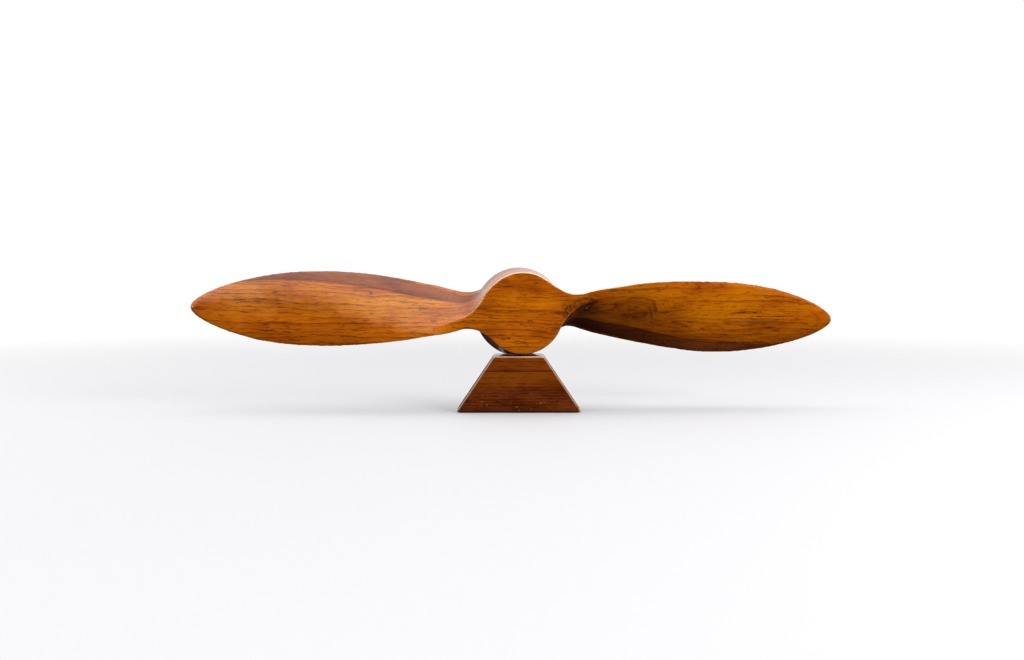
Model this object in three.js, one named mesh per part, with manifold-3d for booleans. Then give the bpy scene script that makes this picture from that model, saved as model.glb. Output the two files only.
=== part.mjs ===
// Two-blade carved timber display propeller on a trapezoid timber stand.
// Millimetres, +Z up. The origin is the centre of the stand's underside.
// The propeller is glued up from three boards and carved; the stand is a
// stack of three boards. One vertical screw from below holds the propeller,
// and the propeller swivels about it.
import * as THREE from 'three';
import { mergeVertices } from 'three/addons/utils/BufferGeometryUtils.js';
import Module from 'manifold-3d';

// ---------- driving dimensions ----------
const PROP_LENGTH = 600;        // tip to tip
const BLANK_DEPTH = 38;         // fore-aft thickness of the glued blank and hub
const FRONT_BOARD = 20.5;       // front lamination of the propeller
const BACK_BOARD = 7.5;         // back lamination; the middle one is what is left
const GLUE_GAP = 0.3;           // clearance kept at every glue line and seat
const HUB_R_FRONT = 38.0;       // hub radius at its front face
const HUB_R_BACK = 42.3;        // hub radius at its back face
const HUB_EDGE = 1.6;           // rounding of the hub's rims
const SEAT_DROP = 39.6;         // hub centre down to the flat it stands on
const SET_ROLL = 1.35;          // degrees, the blades sit this much off level
const SET_YAW = 5.9;            // degrees, the propeller is turned on its stand

const STAND_HEIGHT = 52.4;      // underside of the felt to the top face
const STAND_BOTTOM_W = 117.0;   // width where the slanted ends would reach the table
const STAND_TOP_W = 46.3;       // width where the slanted ends would reach the top
const STAND_DEPTH = 37;
const STAND_EASE = 1.3;         // eased edges
const STAND_GLUE_Z = [24.6, 38.8]; // glue lines between the three boards
const FELT_THICK = 1.0;
const FELT_INSET = 1.6;

const SCREW_X = 1.9;            // screw and swivel axis, slightly off the stand's centre
const SCREW_D = 5.0;
const SCREW_HOLE_D = 5.8;
const SCREW_HEAD_D = 10.0;
const SCREW_HEAD_H = 3.6;
const COUNTERBORE_D = 15.0;
const COUNTERBORE_TOP = 13.0;   // height of the counterbore's ceiling
const WASHER_D = 13.0;
const WASHER_T = 1.2;
const SCREW_BITE = 22.0;        // length of the screw inside the hub

const HUB_Z = STAND_HEIGHT + GLUE_GAP + SEAT_DROP;
const HALF = PROP_LENGTH / 2;
const HD = BLANK_DEPTH / 2;

// ---------- blade tables, by distance from the hub's centre ----------
// lens section: half chord, blade angle, half thickness, fore-aft shift
const BLADE_R =     [ 15,   50,   62,   85,  110,  140,  170,  200,  230,  255,  275,  289,  296.5, 299.4, 300];
const HALF_CHORD =  [ 22,   23.5, 25.4, 28.8, 32.4, 35.2, 36.2, 35.3, 31.8, 26.0, 19.1, 12.1,  6.5,   2.8,  0.6];
const BLADE_ANGLE = [ 40,   38.5, 37.4, 34.9, 29.5, 24.6, 19.7, 16.5, 15.2, 14.8, 14.2, 13.4, 12.6,  12.4, 12.4];
const HALF_THICK =  [  9,   9.0,  8.8,  8.2,  7.4,  6.8,  6.3,  5.8,  5.2,  4.5,  3.8,  3.1,  2.4,   1.5,  0.4];
// share of the half thickness in front of the chord, rising outwards; the rest of 1.8 is behind it
const CAMBER_ROOT = 0.5, CAMBER_OUTER = 1.0, CAMBER_FROM = 85, CAMBER_TO = 155, CAMBER_SUM = 1.8;
const FORE_SHIFT =  [  0,  -0.4, -0.8, -1.6, -2.1, -2.3, -2.4, -2.6, -3.2, -3.9, -4.5, -5.0, -5.2,  -5.3, -5.3];
// small rise or droop of each carved blade, by distance from the hub's centre
const LIFT_R =      [ 15,  36,  50,  70,  110, 140, 180,  240,  300];
const LIFT_RIGHT =  [ 0.8, 1.7, 2.0, 1.9, 1.6, 0.6, -0.9, -0.9, -1.2];
const LIFT_LEFT =   [ 0.4, 0.9, 1.1, 1.0, 0.8, 0.9, 0.6, -0.2, -0.3];
// the right-hand root is hollowed a little more from below
const UNDERCUT = 1.8, UNDERCUT_R = 46, UNDERCUT_SPAN = 10;
// root slab: height of its top corner on the front face, and of the crease below it
const ROOT_R =      [ 15,   24,   29,    33,    35,    37,   39.5,  42,   47,   52,   57,   63,   72,   90,  110];
const ROOT_TOP =    [ 31,   28.2, 24.7,  22.4,  21.3,  20.2, 19.1,  18.3, 17.3, 17.3, 18.0, 19.6, 22.3, 26,  29];
const ROOT_CREASE = [-31,  -28,  -24.2, -19.6, -16.6, -12.8, -8.6,  -4.9,  0.8,  4.4,  6.9,  9.2, 12.2, 16,  19];
const SECTION_POINTS = 28;
const STATIONS = [15, 24, 29, 32, 34, 36, 38, 40, 42.5, 45.5, 49, 53, 58, 64, 72, 82, 94, 108, 124, 141, 159,
  177, 195, 212, 228, 243, 256, 267.5, 277.5, 285.5, 291.5, 295.7, 298.3, 299.5, 300];

// ---------- helpers ----------
const rad = (d) => d * Math.PI / 180;
function curve(xs, ys) {                       // monotone cubic through a table
  const n = xs.length, d = [], m = [];
  for (let i = 0; i < n - 1; i++) d.push((ys[i + 1] - ys[i]) / (xs[i + 1] - xs[i]));
  m.push(d[0]);
  for (let i = 1; i < n - 1; i++) {
    if (d[i - 1] * d[i] <= 0) { m.push(0); continue; }
    const a = xs[i] - xs[i - 1], b = xs[i + 1] - xs[i], w1 = 2 * b + a, w2 = b + 2 * a;
    m.push((w1 + w2) / (w1 / d[i - 1] + w2 / d[i]));
  }
  m.push(d[n - 2]);
  return (x) => {
    if (x <= xs[0]) return ys[0];
    if (x >= xs[n - 1]) return ys[n - 1];
    let i = 0;
    while (x > xs[i + 1]) i++;
    const h = xs[i + 1] - xs[i], t = (x - xs[i]) / h, t2 = t * t, t3 = t2 * t;
    return ys[i] * (2 * t3 - 3 * t2 + 1) + m[i] * h * (t3 - 2 * t2 + t)
      + ys[i + 1] * (-2 * t3 + 3 * t2) + m[i + 1] * h * (t3 - t2);
  };
}
const halfChord = curve(BLADE_R, HALF_CHORD);
const bladeAngle = curve(BLADE_R, BLADE_ANGLE);
const halfThick = curve(BLADE_R, HALF_THICK);
const foreShift = curve(BLADE_R, FORE_SHIFT);
const liftRight = curve(LIFT_R, LIFT_RIGHT);
const liftLeft = curve(LIFT_R, LIFT_LEFT);
const rootTop = curve(ROOT_R, ROOT_TOP);
const rootCrease = curve(ROOT_R, ROOT_CREASE);
const smooth = (a, b, x) => { const t = Math.min(1, Math.max(0, (x - a) / (b - a))); return t * t * (3 - 2 * t); };

// a point at fraction s of a closed polyline's length
function resample(points, n) {
  const len = [0];
  for (let i = 0; i < points.length; i++) {
    const p = points[i], q = points[(i + 1) % points.length];
    len.push(len[i] + Math.hypot(q[0] - p[0], q[1] - p[1]));
  }
  const total = len[points.length], out = [];
  for (let k = 0; k < n; k++) {
    const s = total * k / n;
    let i = 0;
    while (len[i + 1] < s) i++;
    const t = (s - len[i]) / (len[i + 1] - len[i]), p = points[i], q = points[(i + 1) % points.length];
    out.push([p[0] + (q[0] - p[0]) * t, p[1] + (q[1] - p[1]) * t]);
  }
  return out;
}
// lens section of the right-hand blade as [y, z]: the upper edge is the forward one
function lensSection(r, n) {
  const a = halfChord(r), b = halfThick(r), be = rad(bladeAngle(r)), yc = foreShift(r);
  const front = CAMBER_ROOT + (CAMBER_OUTER - CAMBER_ROOT) * smooth(CAMBER_FROM, CAMBER_TO, r);
  const out = [];
  for (let k = 0; k < n; k++) {
    const t = 2 * Math.PI * k / n, u = Math.cos(t), s = Math.sin(t);
    const v = Math.sign(s) * Math.pow(Math.abs(s), 1.3) * b * (s > 0 ? front : CAMBER_SUM - front);
    out.push([yc - u * a * Math.sin(be) - v * Math.cos(be), u * a * Math.cos(be) - v * Math.sin(be)]);
  }
  return out;
}
// root slab: flat front and back strips joined by two slanted sides, rounded corners
function slabSection(r, n) {
  const zt = rootTop(r), zs = rootCrease(r), y0 = -HD + 0.05, y1 = HD - 0.05, e = 1.0;
  const c = [[y0, zt], [y0, zs], [y1, -zt], [y1, -zs]];
  const pts = [];
  for (let i = 0; i < 4; i++) {
    const p = c[i], a = c[(i + 3) % 4], b = c[(i + 1) % 4];
    const la = Math.hypot(a[0] - p[0], a[1] - p[1]), lb = Math.hypot(b[0] - p[0], b[1] - p[1]);
    const ea = Math.min(e, la * 0.4), eb = Math.min(e, lb * 0.4);
    const A = [p[0] + (a[0] - p[0]) / la * ea, p[1] + (a[1] - p[1]) / la * ea];
    const B = [p[0] + (b[0] - p[0]) / lb * eb, p[1] + (b[1] - p[1]) / lb * eb];
    const M = [(A[0] + B[0] + 2 * p[0]) / 4, (A[1] + B[1] + 2 * p[1]) / 4];
    pts.push(A, M, B);
  }
  // start at the top front corner's middle, going the same way round as the lens
  const rot = pts.slice(1).concat(pts.slice(0, 1));
  return resample(rot, n);
}
function section(r, n) {
  const w = smooth(47, 88, r);
  const s = w < 1 ? slabSection(r, n) : null, l = w > 0 ? lensByLength(r, n) : null;
  if (!s) return l;
  if (!l) return s;
  return s.map((p, i) => [p[0] * (1 - w) + l[i][0] * w, p[1] * (1 - w) + l[i][1] * w]);
}
function lensByLength(r, n) { return r < 112 ? resample(lensSection(r, 160), n) : lensSection(r, n); }

const wasm = await Module();
wasm.setup();
function solidOf(geometry) {
  const g = geometry.clone();
  g.deleteAttribute('normal');
  if (g.attributes.uv) g.deleteAttribute('uv');
  const m = mergeVertices(g, 1e-4);
  return new wasm.Manifold(new wasm.Mesh({
    numProp: 3,
    vertProperties: new Float32Array(m.attributes.position.array),
    triVerts: new Uint32Array(m.index.array),
  }));
}
function geometryOf(solid) {
  const mesh = solid.getMesh(), g = new THREE.BufferGeometry();
  const pos = new Float32Array(mesh.numVert * 3);
  for (let i = 0; i < mesh.numVert; i++) for (let k = 0; k < 3; k++) pos[3 * i + k] = mesh.vertProperties[i * mesh.numProp + k];
  g.setAttribute('position', new THREE.BufferAttribute(pos, 3));
  g.setIndex(new THREE.BufferAttribute(new Uint32Array(mesh.triVerts), 1));
  g.computeVertexNormals();
  return g;
}
const slab = (x0, x1, y0, y1, z0, z1) => {
  const g = new THREE.BoxGeometry(x1 - x0, y1 - y0, z1 - z0);
  g.translate((x0 + x1) / 2, (y0 + y1) / 2, (z0 + z1) / 2);
  return solidOf(g);
};
const rod = (d, z0, z1, x, y, seg = 28) => {
  const g = new THREE.CylinderGeometry(d / 2, d / 2, z1 - z0, seg);
  g.rotateX(Math.PI / 2);
  g.translate(x, y, (z0 + z1) / 2);
  return solidOf(g);
};

// ---------- propeller ----------
function bladeSolid(side) {
  const n = SECTION_POINTS, pos = [], idx = [];
  for (const r of STATIONS) for (const p of section(r, n)) {
    const under = side > 0 ? UNDERCUT * Math.exp(-(((r - UNDERCUT_R) / UNDERCUT_SPAN) ** 2)) * Math.min(1, Math.max(0, -p[1] / 16)) : 0;
    pos.push(side * r, p[0], side * p[1] + under + (side > 0 ? liftRight(r) : liftLeft(r)));
  }
  const ns = STATIONS.length, c0 = pos.length / 3;
  pos.push(side * STATIONS[0], 0, 0);
  const re = STATIONS[ns - 1];
  pos.push(side * re, foreShift(re), side > 0 ? liftRight(re) : liftLeft(re));
  // the left blade is the right one turned half a turn about the hub's axis, so both wind alike
  for (let i = 0; i < ns - 1; i++) for (let k = 0; k < n; k++) {
    const a = i * n + k, b = i * n + (k + 1) % n, c = a + n, d = b + n;
    idx.push(a, b, c, b, d, c);
  }
  for (let k = 0; k < n; k++) {
    idx.push(c0, (k + 1) % n, k);
    idx.push(c0 + 1, (ns - 1) * n + k, (ns - 1) * n + (k + 1) % n);
  }
  const g = new THREE.BufferGeometry();
  g.setAttribute('position', new THREE.BufferAttribute(new Float32Array(pos), 3));
  g.setIndex(idx);
  return solidOf(g);
}
function hubSolid() {
  const e = HUB_EDGE, taper = (HUB_R_BACK - HUB_R_FRONT) / BLANK_DEPTH;
  const p = [new THREE.Vector2(0, -HD)];
  for (let k = 0; k <= 3; k++) {
    const t = Math.PI / 2 * k / 3;
    p.push(new THREE.Vector2(HUB_R_FRONT - e + e * Math.sin(t), -HD + e - e * Math.cos(t)));
  }
  for (let k = 0; k <= 3; k++) {
    const t = Math.PI / 2 * k / 3;
    p.push(new THREE.Vector2(HUB_R_BACK - taper * e - e + e * Math.cos(t), HD - e + e * Math.sin(t)));
  }
  p.push(new THREE.Vector2(0, HD));
  return solidOf(new THREE.LatheGeometry(p, 56));
}
let propeller = hubSolid().add(bladeSolid(1)).add(bladeSolid(-1));
propeller = propeller.rotate([0, SET_ROLL, 0]);
propeller = propeller.subtract(slab(-60, 60, -40, 40, -60, -SEAT_DROP));
propeller = propeller.subtract(rod(SCREW_HOLE_D, -SEAT_DROP - 5, -SEAT_DROP + SCREW_BITE + 1, 0, 0));
const yFront = -HD + FRONT_BOARD, yBack = HD - BACK_BOARD, g2 = GLUE_GAP / 2;
const board = (y0, y1) => propeller.intersect(slab(-HALF - 5, HALF + 5, y0, y1, -80, 80));
const largest = (solid) => solid.decompose().sort((a, b) => b.volume() - a.volume())[0];

const timber = (color, roughness = 0.32) => new THREE.MeshStandardMaterial({ color, roughness, metalness: 0 });
const golden = timber(0xa65a12), goldenBack = timber(0x9c5210), mauve = timber(0x82452a);
const steel = new THREE.MeshStandardMaterial({ color: 0xb9bcc0, roughness: 0.35, metalness: 1 });
const felt = new THREE.MeshStandardMaterial({ color: 0x15161a, roughness: 0.95, metalness: 0 });

const product = new THREE.Group();
const propellerGroup = new THREE.Group();
propellerGroup.position.set(SCREW_X, 0, HUB_Z);
propellerGroup.rotation.z = rad(SET_YAW);
const standGroup = new THREE.Group();
product.add(standGroup, propellerGroup);
function node(name, solid, material, parent) {
  const mesh = new THREE.Mesh(geometryOf(solid), material);
  mesh.name = name;
  parent.add(mesh);
}
node('propeller_front_board', largest(board(-HD - 5, yFront - g2)), golden, propellerGroup);
node('propeller_middle_board', largest(board(yFront + g2, yBack - g2)), mauve, propellerGroup);
node('propeller_back_board', largest(board(yBack + g2, HD + 5)), goldenBack, propellerGroup);

// ---------- screw and washer ----------
const headTop = COUNTERBORE_TOP - GLUE_GAP - WASHER_T - GLUE_GAP;
const screwTip = STAND_HEIGHT + GLUE_GAP + SCREW_BITE;
{
  const h = SCREW_HEAD_D / 2, s = SCREW_D / 2, z0 = headTop - SCREW_HEAD_H;
  const profile = [[0, z0 + 0.9], [1.3, z0 + 0.9], [1.3, z0], [h - 1.2, z0], [h - 0.3, z0 + 0.7], [h, z0 + 1.8], [h, headTop], [s, headTop],
    [s, screwTip - 7], [0.5, screwTip], [0, screwTip]].map(([a, b]) => new THREE.Vector2(a, b - HUB_Z));
  const g = new THREE.LatheGeometry(profile, 24);
  g.rotateX(Math.PI / 2);
  node('stand_screw', solidOf(g), steel, propellerGroup);
}
node('screw_washer', rod(WASHER_D, COUNTERBORE_TOP - GLUE_GAP - WASHER_T, COUNTERBORE_TOP - GLUE_GAP, SCREW_X, 0)
  .subtract(rod(SCREW_HOLE_D, 0, 30, SCREW_X, 0)), steel, standGroup);

// ---------- stand ----------
// a prism with slanted ends; its long edges and corners are eased
function standSolid() {
  const z0 = FELT_THICK + GLUE_GAP, z1 = STAND_HEIGHT, slope = (STAND_BOTTOM_W - STAND_TOP_W) / 2 / STAND_HEIGHT;
  const half = (z) => STAND_BOTTOM_W / 2 - slope * z;
  const outline = (inset) => {
    const k = Math.hypot(1, slope), e = STAND_EASE * 1.2;
    const zb = z0 + inset, zt = z1 - inset, hb = half(zb) - inset * k, ht = half(zt) - inset * k;
    const dx = slope / k * e, dz = 1 / k * e;
    return [[-hb + e, zb], [hb - e, zb], [hb - e * 0.35, zb + e * 0.25], [hb - dx, zb + dz], [ht + dx, zt - dz], [ht - e * 0.12, zt - e * 0.3], [ht - e, zt],
      [-ht + e, zt], [-ht + e * 0.12, zt - e * 0.3], [-ht - dx, zt - dz], [-hb + dx, zb + dz], [-hb + e * 0.35, zb + e * 0.25]];
  };
  const rings = [], d = STAND_DEPTH / 2, e = STAND_EASE;
  for (const [inset, y] of [[e, -d], [e * 0.3, -d + e * 0.3], [0, -d + e], [0, d - e], [e * 0.3, d - e * 0.3], [e, d]])
    rings.push(outline(inset).map(([x, z]) => [x, y, z]));
  const n = rings[0].length, pos = [], idx = [];
  for (const ring of rings) for (const p of ring) pos.push(...p);
  for (let i = 0; i < rings.length - 1; i++) for (let k = 0; k < n; k++) {
    const a = i * n + k, b = i * n + (k + 1) % n, c = a + n, q = b + n;
    idx.push(a, c, b, b, c, q);
  }
  for (let k = 1; k < n - 1; k++) {
    idx.push(0, k, k + 1);
    const o = (rings.length - 1) * n;
    idx.push(o, o + k + 1, o + k);
  }
  const g = new THREE.BufferGeometry();
  g.setAttribute('position', new THREE.BufferAttribute(new Float32Array(pos), 3));
  g.setIndex(idx);
  return solidOf(g);
}
const stand = standSolid()
  .subtract(rod(SCREW_HOLE_D, -5, 80, SCREW_X, 0))
  .subtract(rod(COUNTERBORE_D, -5, COUNTERBORE_TOP, SCREW_X, 0));
const layer = (z0, z1) => stand.intersect(slab(-90, 90, -60, 60, z0, z1));
node('stand_bottom_board', layer(-5, STAND_GLUE_Z[0] - g2), timber(0x6e2e0c, 0.4), standGroup);
node('stand_middle_board', layer(STAND_GLUE_Z[0] + g2, STAND_GLUE_Z[1] - g2), timber(0x8a4a10, 0.38), standGroup);
node('stand_top_board', layer(STAND_GLUE_Z[1] + g2, 90), timber(0x7a4414, 0.38), standGroup);

// ---------- felt pad ----------
{
  const w = STAND_BOTTOM_W / 2 - FELT_INSET - 1.2, d = STAND_DEPTH / 2 - FELT_INSET, c = 2.5;
  const s = new THREE.Shape();
  s.moveTo(-w + c, -d); s.lineTo(w - c, -d); s.lineTo(w, -d + c); s.lineTo(w, d - c); s.lineTo(w - c, d);
  s.lineTo(-w + c, d); s.lineTo(-w, d - c); s.lineTo(-w, -d + c); s.closePath();
  node('felt_pad', solidOf(new THREE.ExtrudeGeometry(s, { depth: FELT_THICK, bevelEnabled: false })), felt, standGroup);
}

export default product;
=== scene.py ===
# Looks for a carved timber display propeller on its stand.
import math
import bmesh
import bpy
import numpy as np
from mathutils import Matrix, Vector


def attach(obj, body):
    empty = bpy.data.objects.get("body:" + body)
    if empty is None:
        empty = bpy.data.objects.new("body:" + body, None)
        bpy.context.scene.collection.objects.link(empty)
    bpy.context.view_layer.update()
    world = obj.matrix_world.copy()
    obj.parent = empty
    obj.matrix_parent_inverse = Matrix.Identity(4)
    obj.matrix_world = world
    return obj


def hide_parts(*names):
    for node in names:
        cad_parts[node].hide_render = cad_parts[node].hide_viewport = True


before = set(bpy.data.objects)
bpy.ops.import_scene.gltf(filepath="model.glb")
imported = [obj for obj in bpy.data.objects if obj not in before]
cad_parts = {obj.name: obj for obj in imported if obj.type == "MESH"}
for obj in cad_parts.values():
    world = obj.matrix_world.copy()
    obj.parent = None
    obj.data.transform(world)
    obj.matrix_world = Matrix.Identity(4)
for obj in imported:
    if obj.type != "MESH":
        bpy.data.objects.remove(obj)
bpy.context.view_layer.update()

MM = 0.001
rng = np.random.default_rng(7)

# ------------------------------------------------------------------ dimensions (mm), as in the CAD model
BLANK_DEPTH = 38.0
HD = BLANK_DEPTH / 2
FRONT_BOARD, BACK_BOARD = 20.5, 7.5
CAMBER_ROOT, CAMBER_OUTER, CAMBER_FROM, CAMBER_TO, CAMBER_SUM = 0.5, 1.0, 85.0, 155.0, 1.8
HUB_R_FRONT, HUB_R_BACK, HUB_EDGE = 38.0, 42.3, 1.6
SEAT_DROP, SET_ROLL, SET_YAW = 39.6, 1.35, 5.9
STAND_HEIGHT, STAND_BOTTOM_W, STAND_TOP_W, STAND_DEPTH, STAND_EASE = 52.4, 117.0, 46.3, 37.0, 1.3
STAND_GLUE_Z = (24.6, 38.8)
FELT_THICK, FELT_INSET, GLUE_GAP = 1.0, 1.6, 0.3
UNDERCUT, UNDERCUT_R, UNDERCUT_SPAN = 1.8, 46.0, 10.0
SCREW_X, SCREW_D, SCREW_HOLE_D, SCREW_BITE = 1.9, 5.0, 5.8, 22.0
COUNTERBORE_D, COUNTERBORE_TOP = 15.0, 13.0
HUB_Z = STAND_HEIGHT + GLUE_GAP + SEAT_DROP

BLADE_R = [15, 50, 62, 85, 110, 140, 170, 200, 230, 255, 275, 289, 296.5, 299.4, 300]
HALF_CHORD = [22, 23.5, 25.4, 28.8, 32.4, 35.2, 36.2, 35.3, 31.8, 26.0, 19.1, 12.1, 6.5, 2.8, 0.6]
BLADE_ANGLE = [40, 38.5, 37.4, 34.9, 29.5, 24.6, 19.7, 16.5, 15.2, 14.8, 14.2, 13.4, 12.6, 12.4, 12.4]
HALF_THICK = [9, 9.0, 8.8, 8.2, 7.4, 6.8, 6.3, 5.8, 5.2, 4.5, 3.8, 3.1, 2.4, 1.5, 0.4]
FORE_SHIFT = [0, -0.4, -0.8, -1.6, -2.1, -2.3, -2.4, -2.6, -3.2, -3.9, -4.5, -5.0, -5.2, -5.3, -5.3]
LIFT_R = [15, 36, 50, 70, 110, 140, 180, 240, 300]
LIFT_RIGHT = [0.8, 1.7, 2.0, 1.9, 1.6, 0.6, -0.9, -0.9, -1.2]
LIFT_LEFT = [0.4, 0.9, 1.1, 1.0, 0.8, 0.9, 0.6, -0.2, -0.3]
ROOT_R = [15, 24, 29, 33, 35, 37, 39.5, 42, 47, 52, 57, 63, 72, 90, 110]
ROOT_TOP = [31, 28.2, 24.7, 22.4, 21.3, 20.2, 19.1, 18.3, 17.3, 17.3, 18.0, 19.6, 22.3, 26, 29]
ROOT_CREASE = [-31, -28, -24.2, -19.6, -16.6, -12.8, -8.6, -4.9, 0.8, 4.4, 6.9, 9.2, 12.2, 16, 19]


def curve(xs, ys):
    xs, ys, n = np.array(xs, float), np.array(ys, float), len(xs)
    d = np.diff(ys) / np.diff(xs)
    m = np.zeros(n)
    m[0], m[-1] = d[0], d[-1]
    for i in range(1, n - 1):
        if d[i - 1] * d[i] > 0:
            a, b = xs[i] - xs[i - 1], xs[i + 1] - xs[i]
            w1, w2 = 2 * b + a, b + 2 * a
            m[i] = (w1 + w2) / (w1 / d[i - 1] + w2 / d[i])

    def f(x):
        x = float(min(max(x, xs[0]), xs[-1]))
        i = max(min(int(np.searchsorted(xs, x, side="right")) - 1, n - 2), 0)
        h = xs[i + 1] - xs[i]
        t = (x - xs[i]) / h
        return (ys[i] * (2 * t**3 - 3 * t * t + 1) + m[i] * h * (t**3 - 2 * t * t + t)
                + ys[i + 1] * (-2 * t**3 + 3 * t * t) + m[i + 1] * h * (t**3 - t * t))
    return f


half_chord, blade_angle = curve(BLADE_R, HALF_CHORD), curve(BLADE_R, BLADE_ANGLE)
half_thick, fore_shift = curve(BLADE_R, HALF_THICK), curve(BLADE_R, FORE_SHIFT)
lift = {1: curve(LIFT_R, LIFT_RIGHT), -1: curve(LIFT_R, LIFT_LEFT)}
root_top, root_crease = curve(ROOT_R, ROOT_TOP), curve(ROOT_R, ROOT_CREASE)


def resample(p, n):
    p = np.asarray(p)
    q = np.vstack([p, p[:1]])
    length = np.concatenate([[0], np.cumsum(np.hypot(*(np.diff(q, axis=0).T)))])
    s = length[-1] * np.arange(n) / n
    return np.stack([np.interp(s, length, q[:, 0]), np.interp(s, length, q[:, 1])], 1)


def lens(r, n):
    a, b, be, yc = half_chord(r), half_thick(r), math.radians(blade_angle(r)), fore_shift(r)
    t = 2 * np.pi * np.arange(n) / n
    u, s = np.cos(t), np.sin(t)
    q = min(1, max(0, (r - CAMBER_FROM) / (CAMBER_TO - CAMBER_FROM)))
    front = CAMBER_ROOT + (CAMBER_OUTER - CAMBER_ROOT) * q * q * (3 - 2 * q)
    v = np.sign(s) * np.abs(s) ** 1.3 * b * np.where(s > 0, front, CAMBER_SUM - front)
    return np.stack([yc - u * a * math.sin(be) - v * math.cos(be), u * a * math.cos(be) - v * math.sin(be)], 1)


def slab_section(r, n, e=0.9, k=6):
    zt, zs, y0, y1 = root_top(r), root_crease(r), -HD + 0.02, HD - 0.02
    c, out = [(y0, zt), (y0, zs), (y1, -zt), (y1, -zs)], []
    for i in range(4):
        p, a, b = np.array(c[i]), np.array(c[(i + 3) % 4]), np.array(c[(i + 1) % 4])
        la, lb = np.hypot(*(a - p)), np.hypot(*(b - p))
        ea, eb = min(e, la * .4), min(e, lb * .4)
        A, B = p + (a - p) / la * ea, p + (b - p) / lb * eb
        for j in range(k + 1):
            t = j / k
            out.append((1 - t) ** 2 * A + 2 * t * (1 - t) * p + t * t * B)
    h = k // 2
    return resample(out[h:] + out[:h], n)


def section(r, n):
    t = min(1, max(0, (r - 47) / 41))
    w = t * t * (3 - 2 * t)
    if w <= 0:
        return slab_section(r, n)
    l = resample(lens(r, 400), n)
    return l if w >= 1 else slab_section(r, n) * (1 - w) + l * w


# ------------------------------------------------------------------ mesh helpers (all in mm until the end)
def mesh_object(name, verts, faces):
    me = bpy.data.meshes.new(name)
    me.from_pydata([tuple(v) for v in verts], [], faces)
    me.validate()
    o = bpy.data.objects.new(name, me)
    bpy.context.scene.collection.objects.link(o)
    return o


def loft(name, rings):
    n, verts, faces = len(rings[0]), [], []
    for ring in rings:
        verts += [tuple(p) for p in ring]
    for i in range(len(rings) - 1):
        for k in range(n):
            a, b = i * n + k, i * n + (k + 1) % n
            faces.append((a, b, b + n, a + n))
    faces.append(tuple(range(n))[::-1])
    faces.append(tuple(range((len(rings) - 1) * n, len(rings) * n)))
    o = mesh_object(name, verts, faces)
    bm = bmesh.new()
    bm.from_mesh(o.data)
    bmesh.ops.recalc_face_normals(bm, faces=bm.faces)
    bm.to_mesh(o.data)
    bm.free()
    return o


def apply_modifiers(o):
    dg = bpy.context.evaluated_depsgraph_get()
    me = bpy.data.meshes.new_from_object(o.evaluated_get(dg))
    o.modifiers.clear()
    old = o.data
    o.data = me
    bpy.data.meshes.remove(old)


def coords(o):
    co = np.zeros(len(o.data.vertices) * 3, np.float32)
    o.data.vertices.foreach_get("co", co)
    return co.reshape(-1, 3).astype(float)


def set_coords(o, co):
    o.data.vertices.foreach_set("co", np.asarray(co, np.float32).ravel())
    o.data.update()


def taubin(o, rounds, lam=0.55, mu=-0.57):
    e = np.zeros(len(o.data.edges) * 2, np.int32)
    o.data.edges.foreach_get("vertices", e)
    e = e.reshape(-1, 2)
    co = coords(o)
    deg = np.bincount(e.ravel(), minlength=len(co)).astype(float)
    for i in range(rounds * 2):
        s = np.zeros_like(co)
        for k in range(3):
            s[:, k] = np.bincount(e[:, 0], co[e[:, 1], k], len(co)) + np.bincount(e[:, 1], co[e[:, 0], k], len(co))
        co += (lam if i % 2 == 0 else mu) * (s / deg[:, None] - co)
    set_coords(o, co)


def boolean(o, other, op):
    m = o.modifiers.new("b", "BOOLEAN")
    m.object, m.operation, m.solver = other, op, "EXACT"
    apply_modifiers(o)
    bpy.data.objects.remove(other)


def remove(o):
    bpy.data.objects.remove(o)


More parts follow.
